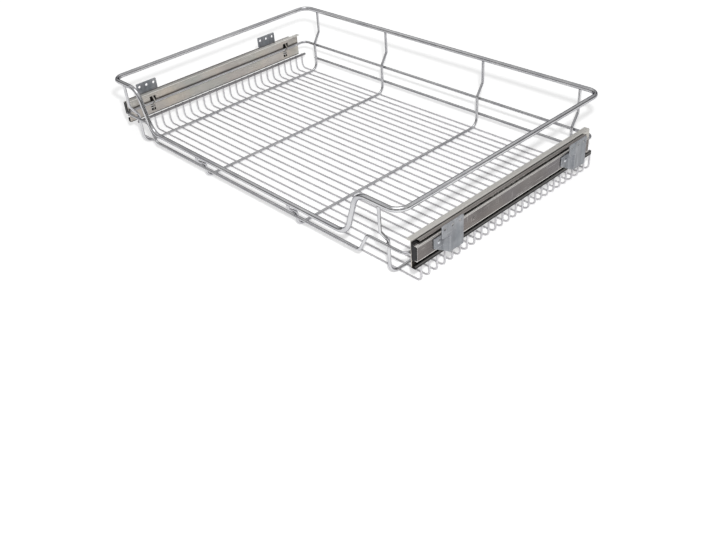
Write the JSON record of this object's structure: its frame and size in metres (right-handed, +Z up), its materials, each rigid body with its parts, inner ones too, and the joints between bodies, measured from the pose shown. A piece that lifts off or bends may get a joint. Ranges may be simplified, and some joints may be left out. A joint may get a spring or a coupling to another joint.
{
  "type": "pull-out cabinet basket",
  "caption": "Shallow rectangular chromed wire basket with a lowered front rail, on ball slides with bent sheet brackets that screw to the side walls of a kitchen cabinet.",
  "frame": {"origin": "middle of the plan, at the underside of the floor wires", "axes": "+X to the right across the width, +Y from the lowered front to the back, +Z up; the basket pulls out towards -Y"},
  "size_m": [0.764, 0.47, 0.132],
  "materials": {
    "chromed_wire": "bright chrome-plated steel wire",
    "zinc_sheet": "satin zinc-plated sheet, slightly warm",
    "slide_steel": "zinc-plated rolled slide section",
    "ball_steel": "polished bearing steel",
    "bracket_zinc": "blue-grey zinc-plated sheet",
    "black_plastic": "moulded black plastic"
  },
  "bodies": {
    "cabinet_side": {"left_cabinet_member": "slide_steel", "right_cabinet_member": "slide_steel", "left_front_bumper": "black_plastic", "right_front_bumper": "black_plastic", "left_rear_bumper": "black_plastic", "right_rear_bumper": "black_plastic", "left_front_bracket": "bracket_zinc", "right_front_bracket": "bracket_zinc", "left_rear_bracket": "bracket_zinc", "right_rear_bracket": "bracket_zinc", "left_bracket_rivets": "bracket_zinc", "right_bracket_rivets": "bracket_zinc"},
    "basket": {"top_rim": "chromed_wire", "mid_ring": "chromed_wire", "back_lower_rail": "chromed_wire", "left_side_rail": "chromed_wire", "right_side_rail": "chromed_wire", "left_end_frame": "chromed_wire", "left_inner_frame": "chromed_wire", "right_inner_frame": "chromed_wire", "right_end_frame": "chromed_wire", "floor_wires": "chromed_wire", "left_carrier": "zinc_sheet", "right_carrier": "zinc_sheet", "left_channel": "zinc_sheet", "right_channel": "zinc_sheet", "left_stop_pin": "slide_steel", "right_stop_pin": "slide_steel"},
    "left_cage": {"left_ball_cage": "slide_steel", "left_balls": "ball_steel"},
    "right_cage": {"right_ball_cage": "slide_steel", "right_balls": "ball_steel"}
  },
  "joints": [
    {"name": "basket_slide", "type": "slide", "parent": "cabinet_side", "child": "basket", "axis": [0, -1, 0], "range_m": [0, 0.3]},
    {"name": "left_cage_slide", "type": "slide", "parent": "cabinet_side", "child": "left_cage", "axis": [0, -1, 0], "range_m": [0, 0.15]},
    {"name": "right_cage_slide", "type": "slide", "parent": "cabinet_side", "child": "right_cage", "axis": [0, -1, 0], "range_m": [0, 0.15]}
  ],
  "couplings": [
    {"joint": "left_cage_slide", "follows": "basket_slide", "ratio": 0.5},
    {"joint": "right_cage_slide", "follows": "basket_slide", "ratio": 0.5}
  ]
}
